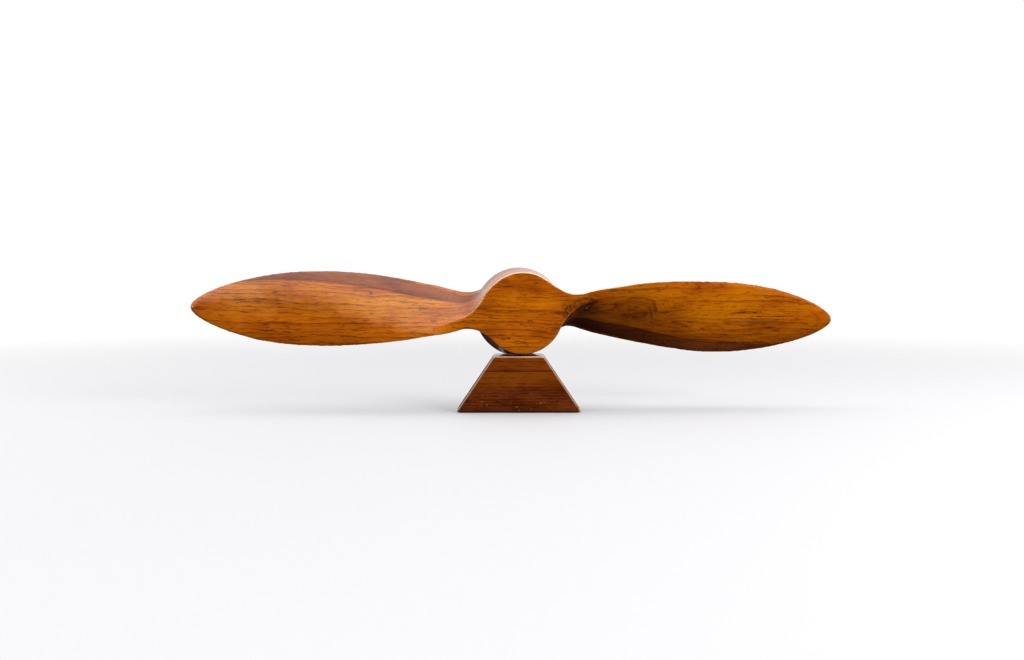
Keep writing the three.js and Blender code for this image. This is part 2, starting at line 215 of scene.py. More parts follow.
# ------------------------------------------------------------------ node graphs
class Graph:
    """A material's nodes, written as expressions."""

    def __init__(self, name):
        self.mat = bpy.data.materials.new(name)
        self.mat.use_nodes = True
        self.nt = self.mat.node_tree
        self.bsdf = self.nt.nodes["Principled BSDF"]

    def put(self, socket, v):
        if isinstance(v, bpy.types.NodeSocket):
            self.nt.links.new(v, socket)
        elif isinstance(v, (tuple, list)):
            socket.default_value = tuple(v) + (1.0,) * (len(socket.default_value) - len(v))
        else:
            socket.default_value = v

    def math(self, op, *args, clamp=False):
        n = self.nt.nodes.new("ShaderNodeMath")
        n.operation, n.use_clamp = op, clamp
        for i, v in enumerate(args):
            self.put(n.inputs[i], v)
        return n.outputs[0]

    def vec(self, op, a, b):
        n = self.nt.nodes.new("ShaderNodeVectorMath")
        n.operation = op
        self.put(n.inputs[0], a)
        self.put(n.inputs[1], b)
        return n.outputs["Value" if op in ("DOT_PRODUCT", "DISTANCE", "LENGTH") else "Vector"]

    def xyz(self, v):
        n = self.nt.nodes.new("ShaderNodeSeparateXYZ")
        self.put(n.inputs[0], v)
        return n.outputs[0], n.outputs[1], n.outputs[2]

    def pack(self, x, y, z):
        n = self.nt.nodes.new("ShaderNodeCombineXYZ")
        for i, v in enumerate((x, y, z)):
            self.put(n.inputs[i], v)
        return n.outputs[0]

    def noise(self, v, detail=2.0, rough=0.5, dist=0.0):
        n = self.nt.nodes.new("ShaderNodeTexNoise")
        n.inputs["Scale"].default_value = 1.0
        n.inputs["Detail"].default_value = detail
        n.inputs["Roughness"].default_value = rough
        n.inputs["Distortion"].default_value = dist
        self.put(n.inputs["Vector"], v)
        return n.outputs["Fac"]

    def cells(self, v, feature="F1", out="Distance"):
        n = self.nt.nodes.new("ShaderNodeTexVoronoi")
        n.feature = feature
        n.inputs["Scale"].default_value = 1.0
        self.put(n.inputs["Vector"], v)
        return n.outputs[out]

    def step(self, v, lo, hi, a=0.0, b=1.0):
        n = self.nt.nodes.new("ShaderNodeMapRange")
        n.interpolation_type = "SMOOTHSTEP"
        for i, q in enumerate((v, lo, hi, a, b)):
            self.put(n.inputs[i], q)
        return n.outputs[0]

    def mix(self, f, a, b, blend="MIX"):
        n = self.nt.nodes.new("ShaderNodeMix")
        n.data_type, n.blend_type, n.clamp_factor = "RGBA", blend, True
        self.put(n.inputs[0], f)
        self.put(n.inputs[6], a)
        self.put(n.inputs[7], b)
        return n.outputs[2]

    def attr(self, name, out="Vector"):
        n = self.nt.nodes.new("ShaderNodeAttribute")
        n.attribute_name = name
        return n.outputs[out]

    def bump(self, height, strength, distance, under=None):
        n = self.nt.nodes.new("ShaderNodeBump")
        n.inputs["Strength"].default_value = strength
        n.inputs["Distance"].default_value = distance
        self.put(n.inputs["Height"], height)
        if under is not None:
            self.put(n.inputs["Normal"], under)
        return n.outputs[0]

    def add(self, *a):
        out = a[0]
        for b in a[1:]:
            out = self.math("ADD", out, b)
        return out

    def mul(self, *a):
        out = a[0]
        for b in a[1:]:
            out = self.math("MULTIPLY", out, b)
        return out

    def inv(self, a):
        return self.math("SUBTRACT", 1.0, a)


def wood(name, base, pale, dark, pore, seed, ring=5.0, tilt=0.35, ringing=0.75, pores=0.9, streaks=0.6, wander=1.0,
         marks=(), knots=(), patches=(), glue=(), glue_z=(), coat=1.0, coat_rough=0.13, rough=0.52, chips=0.0, mottle=1.0, arris_highlight=0.62, arris_highlight_tone=(0.80, 0.40, 0.19), painted_crest_highlight=0.0, feather=()):
    """Lacquered open-grained timber. The grain runs along x; lengths are in mm.
    marks: (x0, z0, x1, z1, half width, strength, colour); knots: (x, z, length, height, pull, darkness); glue: depths of glue lines."""
    g = Graph(name)
    P0 = g.attr("grain")
    x0, y0, z0 = g.xyz(P0)
    P = g.vec("ADD", P0, seed)
    w1 = g.noise(g.vec("MULTIPLY", P, (0.008, 0.020, 0.022)), 3.0)
    w2 = g.noise(g.vec("MULTIPLY", P, (0.035, 0.06, 0.07)), 2.0)
    w3 = g.noise(g.vec("ADD", g.vec("MULTIPLY", P, (0.010, 0.02, 0.02)), (7.3, 1.9, 4.4)), 2.0)
    wob = g.math("MULTIPLY_ADD", w1, 17.0 * wander, g.math("MULTIPLY", w2, 5.0 * wander))
    zk = z0
    core = None
    for kx, kz, kl, kh, pull, darkness in knots:
        dx = g.math("DIVIDE", g.math("SUBTRACT", x0, kx), kl)
        dz = g.math("DIVIDE", g.math("SUBTRACT", zk, kz), kh)
        q = g.add(g.mul(dx, dx), g.mul(dz, dz))
        e = g.math("POWER", 2.718, g.math("MULTIPLY", q, -1.0))
        zk = g.math("SUBTRACT", zk, g.mul(g.math("SUBTRACT", zk, kz), e, pull))
        c = g.math("MULTIPLY", e, darkness)
        core = c if core is None else g.math("MAXIMUM", core, c)
    Z = g.add(zk, wob, seed[2])
    Y = g.math("MULTIPLY_ADD", w3, 9.0 * wander, g.math("ADD", y0, seed[1]))
    X = g.math("ADD", x0, seed[0])
    # growth rings: a slow fade into a dark, sharp late-wood line
    age = g.math("DIVIDE", g.math("MULTIPLY_ADD", Y, tilt, Z), ring)
    age = g.math("MULTIPLY_ADD", g.noise(g.pack(g.math("MULTIPLY", X, 0.004), g.math("MULTIPLY", Y, 0.05), g.math("MULTIPLY", Z, 0.11)), 1.0), 2.6, age)
    fr = g.math("FRACT", age)
    late = g.mul(g.math("POWER", fr, 2.6), g.step(fr, 1.0, 0.93))
    band = g.noise(g.pack(g.math("MULTIPLY", X, 0.012), g.math("MULTIPLY", Y, 0.09), g.math("MULTIPLY", Z, 0.12)), 2.0)
    late = g.mul(late, g.step(band, 0.30, 0.62, 0.25, 1.0))
    # vessels: long dark dashes along the grain, thickest along the rings
    v1 = g.noise(g.pack(g.math("MULTIPLY", X, 0.115), g.math("MULTIPLY", Y, 1.10), g.math("MULTIPLY", Z, 1.15)), 2.0, 0.55)
    v2 = g.noise(g.pack(g.math("MULTIPLY", X, 0.28), g.math("MULTIPLY", Y, 2.1), g.math("MULTIPLY", Z, 2.2)), 1.0, 0.5)
    dash = g.step(g.math("MULTIPLY_ADD", late, 0.16, v1), 0.575, 0.67)
    fleck = g.mul(g.step(v2, 0.60, 0.70), g.step(band, 0.38, 0.60, 0.25, 1.0))
    fibre = g.noise(g.pack(g.math("MULTIPLY", X, 0.05), g.math("MULTIPLY", Y, 3.2), g.math("MULTIPLY", Z, 3.4)), 3.0, 0.6)
    streak = g.step(g.noise(g.pack(g.math("MULTIPLY", X, 0.018), g.math("MULTIPLY", Y, 0.26), g.math("MULTIPLY", Z, 0.30)), 3.0, 0.6), 0.56, 0.72)
    cloud = g.noise(g.vec("MULTIPLY", P, (0.022, 0.05, 0.055)), 3.0, 0.55)
    ray = g.step(g.noise(g.pack(g.math("MULTIPLY", X, 0.7), g.math("MULTIPLY", Y, 0.25), g.math("MULTIPLY", Z, 1.6)), 2.0), 0.58, 0.72)
    col = g.mix(g.step(cloud, 0.36, 0.66, 0.0, mottle), base, pale)
    col = g.mix(g.math("MULTIPLY", g.step(cloud, 0.46, 0.30), 0.45 * mottle), col, dark)
    for px_, pz_, prx, prz, strength, tone in patches:
        dx = g.math("DIVIDE", g.math("SUBTRACT", x0, px_), prx)
        dz = g.math("DIVIDE", g.math("SUBTRACT", g.math("MULTIPLY_ADD", w2, 8.0, z0), pz_ + 4.0), prz)
        e = g.math("POWER", 2.718, g.math("MULTIPLY", g.add(g.mul(dx, dx), g.mul(dz, dz)), -1.0))
        col = g.mix(g.mul(e, g.step(cloud, 0.30, 0.60, 0.45, 1.0), strength), col, tone)
    for gy, tone, width, strength in feather:
        off = g.math("MULTIPLY_ADD", g.math("SUBTRACT", v1, 0.5), 3.0 * width, g.math("SUBTRACT", gy, y0))
        col = g.mix(g.step(off, width, 0.0, 0.0, strength), col, tone)
    deep = g.mix(1.0, col, (0.40, 0.32, 0.45), "MULTIPLY")
    black = g.mix(1.0, col, (0.13, 0.09, 0.30), "MULTIPLY")
    col = g.mix(g.math("MULTIPLY", late, ringing), col, deep)
    col = g.mix(g.math("MULTIPLY", streak, streaks), col, deep)
    col = g.mix(g.math("MULTIPLY", g.step(fibre, 0.38, 0.68), 0.34), col, g.mix(0.5, col, deep))
    glow = g.step(g.noise(g.pack(g.math("MULTIPLY", X, 0.16), g.math("MULTIPLY", Y, 0.9), g.math("MULTIPLY", Z, 1.1)), 2.0, 0.6), 0.54, 0.70)
    col = g.mix(g.math("MULTIPLY", glow, 0.30), col, g.mix(1.0, col, (1.45, 1.55, 1.2), "MULTIPLY"))
    col = g.mix(g.math("MULTIPLY", ray, 0.10), col, pale)
    col = g.mix(g.math("MULTIPLY", fleck, 0.60 * pores), col, black)
    col = g.mix(g.math("MULTIPLY", dash, 0.92 * pores), col, black)
    depth = g.math("MULTIPLY", dash, -1.0)
    if core is not None:
        swirl = g.noise(g.pack(g.math("MULTIPLY", X, 0.11), g.math("MULTIPLY", Y, 0.12), g.math("MULTIPLY", zk, 0.5)), 3.0, 0.6, 0.6)
        col = g.mix(g.mul(core, g.step(swirl, 0.40, 0.62, 0.15, 1.0)), col, pore)
        col = g.mix(g.math("MULTIPLY", core, 0.35), col, dark)
    if marks:
        jit = g.noise(g.vec("MULTIPLY", P, (0.16, 0.3, 0.5)), 3.0, 0.65)
        jit2 = g.noise(g.vec("ADD", g.vec("MULTIPLY", P, (0.22, 0.3, 0.22)), (3.1, 8.2, 5.5)), 3.0, 0.65)
        flat = g.pack(g.math("MULTIPLY_ADD", g.math("SUBTRACT", jit2, 0.5), 7.0, x0), 0.0, g.math("MULTIPLY_ADD", g.math("SUBTRACT", jit, 0.5), 4.2, z0))
        tones = {}
        for ax, az, bx, bz, half, strength, tone in marks:
            ex, ez = bx - ax, bz - az
            n2 = ex * ex + ez * ez + 1e-6
            rel = g.vec("SUBTRACT", flat, (ax, 0.0, az))
            t = g.math("MINIMUM", g.math("MAXIMUM", g.math("DIVIDE", g.vec("DOT_PRODUCT", rel, (ex, 0.0, ez)), n2), 0.0), 1.0)
            near = g.vec("DISTANCE", rel, g.vec("MULTIPLY", g.pack(t, t, t), (ex, 0.0, ez)))
            ends = g.math("MULTIPLY", g.step(t, 0.0, 0.22, 0.35, 1.0), g.step(t, 1.0, 0.78, 0.35, 1.0))
            m = g.math("MULTIPLY", g.step(near, g.math("MULTIPLY", ends, half), 0.0), strength)
            tones[tone] = g.math("MAXIMUM", tones[tone], m) if tone in tones else m
        fade = g.mul(g.step(y0, 4.0, 1.0), g.step(jit, 0.30, 0.52, 0.45, 1.0))
        for tone, m in tones.items():
            col = g.mix(g.math("MULTIPLY", m, fade), col, tone)
    for gy in glue:
        line = g.step(g.math("ABSOLUTE", g.math("SUBTRACT", y0, gy)), 0.34, 0.05)
        col = g.mix(g.math("MULTIPLY", line, 0.5), col, pore)
    for gz in glue_z:
        line = g.step(g.math("ABSOLUTE", g.math("SUBTRACT", z0, gz)), 0.85, 0.25)
        col = g.mix(g.math("MULTIPLY", line, 0.8), col, pore)
    # darker in the hollows, paler on the ridges (partly edge wear, partly painted highlight), fine scratches
    edge_convexity = g.attr("edge_convexity", "Fac")
    rub_and_highlight_noise = g.noise(g.vec("MULTIPLY", P, (0.09, 0.2, 0.2)), 3.0, 0.7)
    ridge = g.mul(g.step(edge_convexity, 0.04, 0.30), g.step(rub_and_highlight_noise, 0.36, 0.62, 0.2, 1.0))
    hollow = g.step(edge_convexity, -0.03, -0.28)
    # painted highlight: a paler, broken line on the arrises that face up, strongest near the hub, standing in for the
    # light's reflection on the rounded edges
    gn = g.nt.nodes.new("ShaderNodeNewGeometry")
    facing = g.mul(g.step(g.xyz(gn.outputs["Normal"])[2], 0.12, 0.62, 0.06, 1.0), g.step(g.math("ABSOLUTE", x0), 110.0, 60.0, 0.15, 1.0))
    painted_arris_highlight = g.mul(g.step(edge_convexity, 0.11, 0.27), g.step(rub_and_highlight_noise, 0.30, 0.55, 0.55, 1.0), facing)
    # paler ridges: partly real edge wear, partly a painted highlight on the convex edges
    col = g.mix(g.math("MULTIPLY", ridge, 0.22), col, pale)
    col = g.mix(g.math("MULTIPLY", painted_arris_highlight, arris_highlight), col, arris_highlight_tone)
    # painted highlight: a near-white line on the sharpest upward-facing crests, the light's reflection painted into the
    # colour
    crest = g.mul(g.step(edge_convexity, 0.17, 0.30), g.step(rub_and_highlight_noise, 0.26, 0.46, 0.6, 1.0), facing)
    col = g.mix(g.math("MULTIPLY", crest, painted_crest_highlight), col, (0.98, 0.72, 0.55))
    col = g.mix(g.math("MULTIPLY", hollow, 0.45), col, pore)
    s1 = g.noise(g.vec("MULTIPLY", g.vec("ADD", P, g.pack(g.mul(z0, 0.8), 0.0, g.mul(x0, 0.35))), (0.05, 1.0, 2.6)), 1.0)
    scratch = g.mul(g.step(s1, 0.735, 0.76), g.step(rub_and_highlight_noise, 0.50, 0.64))
    chip = None
    if chips:
        c1 = g.cells(g.vec("MULTIPLY", P, (0.22, 0.38, 0.50)))
        low = g.step(z0, 22.0, 2.0, 0.12, 1.0)
        chip = g.mul(g.step(c1, 0.25, 0.13), g.step(g.noise(g.vec("MULTIPLY", P, (0.10, 0.3, 0.35)), 2.0), 0.50, 0.60), low, chips)
        col = g.mix(chip, col, (0.46, 0.27, 0.15))
        depth = g.math("SUBTRACT", depth, g.math("MULTIPLY", chip, 1.2))
    col = g.mix(g.math("MULTIPLY", scratch, 0.25), col, pale)
    g.put(g.bsdf.inputs["Base Color"], col)
    r = g.add(rough, g.math("MULTIPLY", dash, 0.20), g.math("MULTIPLY", ridge, 0.10), g.math("MULTIPLY", scratch, 0.12),
              g.math("MULTIPLY", g.math("SUBTRACT", cloud, 0.5), 0.25))
    if chip is not None:
        r = g.math("MULTIPLY_ADD", chip, 0.35, r)
    g.put(g.bsdf.inputs["Roughness"], g.math("MINIMUM", r, 0.95))
    carve = g.noise(g.vec("MULTIPLY", P, (0.055, 0.10, 0.10)), 2.0)
    fine = g.math("MULTIPLY_ADD", fibre, 0.22, g.math("MULTIPLY_ADD", late, -0.25, g.math("MULTIPLY", depth, 0.9)))
    n = g.bump(carve, 0.25, 0.0010)
    n = g.bump(fine, 0.55, 0.00016, n)
    g.put(g.bsdf.inputs["Normal"], n)
    peel = g.noise(g.vec("MULTIPLY", P, (0.45, 0.55, 0.55)), 2.0)
    c = g.bump(carve, 0.16, 0.0010)
    c = g.bump(peel, 0.22, 0.00007, c)
    g.put(g.bsdf.inputs["Coat Normal"], c)
    g.bsdf.inputs["Coat Weight"].default_value = coat
    g.bsdf.inputs["Coat Roughness"].default_value = coat_rough
    g.bsdf.inputs["Coat IOR"].default_value = 1.5
    g.bsdf.inputs["IOR"].default_value = 1.45
    g.bsdf.inputs["Specular IOR Level"].default_value = 0.03
    return g.mat


def steel():
    """Bright zinc-plated steel, turned, with fine rings, a few scratches and a little tarnish."""
    g = Graph("plated_steel")
    P = g.attr("grain")
    x, y, z = g.xyz(P)
    rr = g.math("SQRT", g.add(g.mul(x, x), g.mul(y, y)))
    turn = g.noise(g.pack(g.math("MULTIPLY", rr, 9.0), g.math("MULTIPLY", z, 5.0), 0.0), 3.0, 0.6)
    cloud = g.noise(g.vec("MULTIPLY", P, (0.35, 0.35, 0.35)), 4.0, 0.6)
    spot = g.step(g.noise(g.vec("MULTIPLY", P, (1.3, 1.3, 1.3)), 3.0, 0.6), 0.62, 0.72)
    scr = g.step(g.noise(g.vec("MULTIPLY", P, (0.6, 6.0, 3.0)), 2.0), 0.68, 0.74)
    col = g.mix(g.step(cloud, 0.35, 0.65), (0.50, 0.51, 0.52), (0.66, 0.67, 0.69))
    col = g.mix(g.math("MULTIPLY", spot, 0.55), col, (0.20, 0.13, 0.08))
    g.put(g.bsdf.inputs["Base Color"], col)
    g.bsdf.inputs["Metallic"].default_value = 1.0
    g.put(g.bsdf.inputs["Roughness"], g.add(0.26, g.math("MULTIPLY", cloud, 0.16), g.math("MULTIPLY", spot, 0.3), g.math("MULTIPLY", scr, 0.12)))
    n = g.bump(g.math("MULTIPLY_ADD", turn, 1.0, g.math("MULTIPLY", g.math("MAXIMUM", spot, scr), -0.8)), 0.35, 0.00004)
    g.put(g.bsdf.inputs["Normal"], n)
    return g.mat


def felt():
    """Pressed wool felt: matted fibres running every way, a soft nap, a little lint."""
    g = Graph("black_felt")
    P = g.attr("grain")
    f1 = g.noise(g.vec("MULTIPLY", P, (2.6, 0.9, 1.8)), 4.0, 0.65, 1.4)
    f2 = g.noise(g.vec("MULTIPLY", P, (0.9, 2.8, 1.8)), 4.0, 0.65, 1.4)
    mat_ = g.math("MAXIMUM", f1, f2)
    cloud = g.noise(g.vec("MULTIPLY", P, (0.10, 0.12, 0.12)), 3.0)
    lint = g.step(g.noise(g.vec("MULTIPLY", P, (1.1, 3.2, 2.0)), 2.0, 0.5, 2.0), 0.70, 0.76)
    col = g.mix(g.step(mat_, 0.42, 0.72), (0.006, 0.006, 0.008), (0.030, 0.031, 0.036))
    col = g.mix(g.math("MULTIPLY", cloud, 0.35), col, (0.018, 0.016, 0.016))
    col = g.mix(g.math("MULTIPLY", lint, 0.5), col, (0.12, 0.12, 0.13))
    g.put(g.bsdf.inputs["Base Color"], col)
    g.put(g.bsdf.inputs["Roughness"], g.math("MULTIPLY_ADD", mat_, 0.10, 0.86))
    g.bsdf.inputs["Sheen Weight"].default_value = 0.35
    g.bsdf.inputs["Sheen Roughness"].default_value = 0.5
    g.put(g.bsdf.inputs["Normal"], g.bump(mat_, 0.9, 0.0005))
    return g.mat


# ------------------------------------------------------------------ camera, floor and light
scene = bpy.context.scene
cam_data = bpy.data.cameras.new("camera")
cam = bpy.data.objects.new("camera", cam_data)
scene.collection.objects.link(cam)
scene.camera = cam
cam_data.sensor_width, cam_data.lens = 36.0, 1005.4 / 1024 * 36.0
cam.location = (-6.31 * MM, -940.9 * MM, 132.34 * MM)
cam.rotation_euler = (math.radians(90 - 3.443), 0, 0)
cam_data.clip_start, cam_data.clip_end = 0.01, 50
scene.view_settings.view_transform = "Standard"
scene.view_settings.look = "None"

floor = mesh_object("floor", [(-8, -8, 0), (8, -8, 0), (8, 8, 0), (-8, 8, 0)], [(0, 1, 2, 3)])
floor.location.z = -0.00005
g = Graph("floor_pale")
gn = g.nt.nodes.new("ShaderNodeNewGeometry")
away = g.vec("LENGTH", g.vec("MULTIPLY", gn.outputs["Position"], (1.0, 1.0, 0.0)), (0, 0, 0))
g.bsdf.inputs["Base Color"].default_value = (0.56, 0.56, 0.575, 1)
g.bsdf.inputs["Roughness"].default_value = 0.7
g.bsdf.inputs["Specular IOR Level"].default_value = 0.2
white = g.nt.nodes.new("ShaderNodeEmission")
white.inputs[0].default_value, white.inputs[1].default_value = (1, 1, 1, 1), 1.03
blend_ = g.nt.nodes.new("ShaderNodeMixShader")
g.nt.links.new(g.step(away, 0.30, 1.5), blend_.inputs[0])
g.nt.links.new(g.bsdf.outputs[0], blend_.inputs[1])
g.nt.links.new(white.outputs[0], blend_.inputs[2])
out = next(n for n in g.nt.nodes if n.type == "OUTPUT_MATERIAL")
g.nt.links.new(blend_.outputs[0], out.inputs[0])
floor.data.materials.append(g.mat)
floor.visible_diffuse = False
floor.visible_glossy = False

world = bpy.data.worlds.new("studio")
scene.world = world
world.use_nodes = True
wn, wl = world.node_tree.nodes, world.node_tree.links


def wnode(kind, **kw):
    n = wn.new(kind)
    for k, v in kw.items():
        setattr(n, k, v)
    return n


tc, sep = wnode("ShaderNodeTexCoord"), wnode("ShaderNodeSeparateXYZ")
wl.new(tc.outputs["Generated"], sep.inputs[0])


def wrange(src, lo, hi, a, b):
    n = wnode("ShaderNodeMapRange", interpolation_type="SMOOTHSTEP")
    wl.new(src, n.inputs[0])
    for i, v in ((1, lo), (2, hi), (3, a), (4, b)):
        n.inputs[i].default_value = v
    return n.outputs[0]


# a white backdrop behind, a bright ceiling that starts well above eye level in front, and darkness below
def wmath(op, a_, b_):
    n = wnode("ShaderNodeMath", operation=op)
    for i, v in enumerate((a_, b_)):
        if isinstance(v, bpy.types.NodeSocket):
            wl.new(v, n.inputs[i])
        else:
            n.inputs[i].default_value = v
    return n.outputs[0]


ceiling = wrange(sep.outputs[2], 0.46, 0.86, 0.0, 1.90)
# over the back half the ceiling is no brighter than the backdrop
front = wrange(sep.outputs[1], 0.15, 0.55, 1.0, 0.45)
backdrop = wmath("MULTIPLY", wrange(sep.outputs[1], 0.02, 0.5, 0.0, 0.80), wrange(sep.outputs[2], -0.07, 0.03, 0.0, 1.0))
level = wmath("MULTIPLY_ADD", wmath("MAXIMUM", wmath("MULTIPLY", ceiling, front), backdrop), 1.0)
level.node.inputs[2].default_value = 0.02
seen, lit, wmix, lp = wnode("ShaderNodeBackground"), wnode("ShaderNodeBackground"), wnode("ShaderNodeMixShader"), wnode("ShaderNodeLightPath")
seen.inputs[0].default_value, seen.inputs[1].default_value = (1, 1, 1, 1), 1.03
lit.inputs[0].default_value = (1, 1, 1, 1)
wl.new(level, lit.inputs[1])
wl.new(lp.outputs["Is Camera Ray"], wmix.inputs[0])
wl.new(lit.outputs[0], wmix.inputs[1])
wl.new(seen.outputs[0], wmix.inputs[2])
wout = next(n for n in wn if n.type == "OUTPUT_WORLD")
wl.new(wmix.outputs[0], wout.inputs[0])
for n in list(wn):
    if n.type == "BACKGROUND" and n not in (seen, lit):
        wn.remove(n)


def area(name, loc, target, size, power, color=(1, 1, 1), glossy=True):
    d = bpy.data.lights.new(name, "AREA")
    d.shape, d.size, d.size_y, d.energy, d.color = "RECTANGLE", size[0], size[1], power, color
    o = bpy.data.objects.new(name, d)
    scene.collection.objects.link(o)
    o.location = loc
    o.rotation_mode = "QUATERNION"
    o.rotation_quaternion = (Vector(target) - Vector(loc)).to_track_quat("-Z", "Y")
    o.visible_glossy = glossy
    return o


area("right", (1.20, -0.95, 0.58), (0, 0, 0.08), (0.8, 0.6), 19.5, glossy=False)
area("left", (-1.15, -1.05, 0.52), (0, 0, 0.08), (0.7, 0.5), 5.5)
area("rim_left", (-0.80, 0.05, 0.80), (0, 0, 0.09), (0.60, 0.60), 3.0, glossy=False)
area("rim_right", (0.80, 0.05, 0.80), (0, 0, 0.09), (0.55, 0.55), 2.0, glossy=False)

# ------------------------------------------------------------------ the propeller's carved shape
def stations():
    s = list(np.arange(15, 60, 1.5)) + list(np.arange(60, 110, 2.5)) + list(np.arange(110, 260, 4.0))
    return s + list(260 + 40 * np.sin(np.linspace(0, np.pi / 2, 26)))


def blade(side, n=120):
    rings = []
    for r in stations():
        q = section(r, n)
        under = UNDERCUT * math.exp(-((r - UNDERCUT_R) / UNDERCUT_SPAN) ** 2) * np.clip(-q[:, 1] / 16, 0, 1) if side > 0 else 0.0
        rings.append(np.stack([np.full(n, side * r), q[:, 0], side * q[:, 1] + under + lift[side](r)], 1))
    return loft("blade", rings)


def lathe(name, prof, seg):
    """prof: (radius, height) pairs, turned about z."""
    t = np.linspace(0, 2 * np.pi, seg, endpoint=False)
    return loft(name, [np.stack([R * np.cos(t), R * np.sin(t), np.full(seg, h)], 1) for R, h in prof])


def hub():
    e, prof = HUB_EDGE, []
    taper = (HUB_R_BACK - HUB_R_FRONT) / BLANK_DEPTH
    for k in range(9):
        t = math.pi / 2 * k / 8
        prof.append((HUB_R_FRONT - e + e * math.sin(t), -HD + e - e * math.cos(t)))
    for k in range(9):
        t = math.pi / 2 * k / 8
        prof.append((HUB_R_BACK - taper * e - e + e * math.cos(t), HD - e + e * math.sin(t)))
    rings = []
    for R, y in prof:
        t = np.linspace(0, 2 * np.pi, 240, endpoint=False)
        rings.append(np.stack([R * np.cos(t), np.full(240, y), R * np.sin(t)], 1))
    return loft("hub", rings)


def block(x0, x1, y0, y1, z0, z1):
    return mesh_object("block", [(x, y, z) for z in (z0, z1) for x, y in ((x0, y0), (x1, y0), (x1, y1), (x0, y1))],
                       [(3, 2, 1, 0), (4, 5, 6, 7), (0, 1, 5, 4), (1, 2, 6, 5), (2, 3, 7, 6), (3, 0, 4, 7)])


def rod(d, z0, z1, x=0.0, y=0.0, seg=48):
    o = lathe("rod", [(d / 2, z0), (d / 2, z1)], seg)
    set_coords(o, coords(o) + np.array([x, y, 0.0]))
    return o


def normals(o):
    n = np.zeros(len(o.data.vertices) * 3, np.float32)
    o.data.vertices.foreach_get("normal", n)
    return n.reshape(-1, 3).astype(float)


def ripple(co, waves, amp, lo, hi):
    """Smooth hand-tooled unevenness, between -amp and 0."""
    v = np.zeros(len(co))
    for _ in range(waves):
        d = rng.normal(size=3)
        d *= 2 * np.pi / rng.uniform(lo, hi) / np.linalg.norm(d)
        v += np.sin(co @ d + rng.uniform(0, 6.28))
    v /= waves ** 0.5
    return -amp * (0.5 + 0.5 * np.tanh(v))


def store_convexity(o, rounds=14):
    """Stores how far each point stands out of its smoothed surroundings, in mm, as a point attribute, which the timber
    uses for real edge wear and for painted highlights.
    """
    e = np.zeros(len(o.data.edges) * 2, np.int32)
    o.data.edges.foreach_get("vertices", e)
    e = e.reshape(-1, 2)
    co = coords(o)
    s, deg = co.copy(), np.bincount(e.ravel(), minlength=len(co)).astype(float)
    for _ in range(rounds):
        a = np.stack([np.bincount(e[:, 0], s[e[:, 1], k], len(co)) + np.bincount(e[:, 1], s[e[:, 0], k], len(co)) for k in range(3)], 1)
        s += 0.6 * (a / deg[:, None] - s)
    v = np.einsum("ij,ij->i", co - s, normals(o))
    at = o.data.attributes.new("edge_convexity", "FLOAT", "POINT")
    at.data.foreach_set("value", v.astype(np.float32))


def store(o, name, values):
    at = o.data.attributes.get(name) or o.data.attributes.new(name, "FLOAT_VECTOR", "POINT")
    at.data.foreach_set("vector", np.asarray(values, np.float32).ravel())


def knocks(co):
    """Depth of the small old knocks on the blades' edges, in mm."""
    v = np.zeros(len(co))
    for x, y, z, rad_, dep in ((-185.5, 10, 34.5, 2.6, 0.55), (-176.0, 10, 35.0, 1.7, 0.35), (-240, -14, -28.5, 1.6, 0.3), (-92, -14, -20, 1.8, 0.25),
                               (208, -12, 30.5, 2.0, 0.35), (268, -9, 18.0, 1.4, 0.35), (150, 12, -36.5, 2.0, 0.3), (285, 0, -13.5, 1.5, 0.3),
                               (-275, 0, 14.5, 1.5, 0.3), (61, -17, 19.0, 1.6, 0.3), (-118, 14, 29.0, 2.2, 0.3), (236, 0, -27.0, 1.4, 0.25)):
        v += dep * np.exp(-(((co - np.array([x, y, z])) * np.array([1, 0.25, 0.8])) ** 2).sum(1) / rad_ ** 2)
    return v


body = hub()
boolean(body, blade(1), "UNION")
boolean(body, blade(-1), "UNION")
co = coords(body)
a = math.radians(SET_ROLL)
x, z = co[:, 0] * math.cos(a) + co[:, 2] * math.sin(a), -co[:, 0] * math.sin(a) + co[:, 2] * math.cos(a)
set_coords(body, np.stack([x, co[:, 1], z], 1))
boolean(body, block(-60, 60, -40, 40, -80, -SEAT_DROP), "DIFFERENCE")
rm = body.modifiers.new("r", "REMESH")
rm.mode, rm.voxel_size, rm.adaptivity = "VOXEL", 0.62, 0.0
apply_modifiers(body)
taubin(body, 2)
co, nn = coords(body), normals(body)
# unevenness from hand tools, kept off the flat seat, and small old knocks along the blades' edges
free = np.clip((co[:, 2] + SEAT_DROP) / 2.0, 0, 1) ** 2
co += nn * (ripple(co, 9, 0.26, 16, 60) + ripple(co, 7, 0.07, 6, 14))[:, None] * free[:, None]
co -= nn * (knocks(co) * free)[:, None]
set_coords(body, co)
store_convexity(body)
boolean(body, rod(SCREW_HOLE_D, -SEAT_DROP - 5, -SEAT_DROP + SCREW_BITE + 1), "DIFFERENCE")
print("propeller verts", len(body.data.vertices))


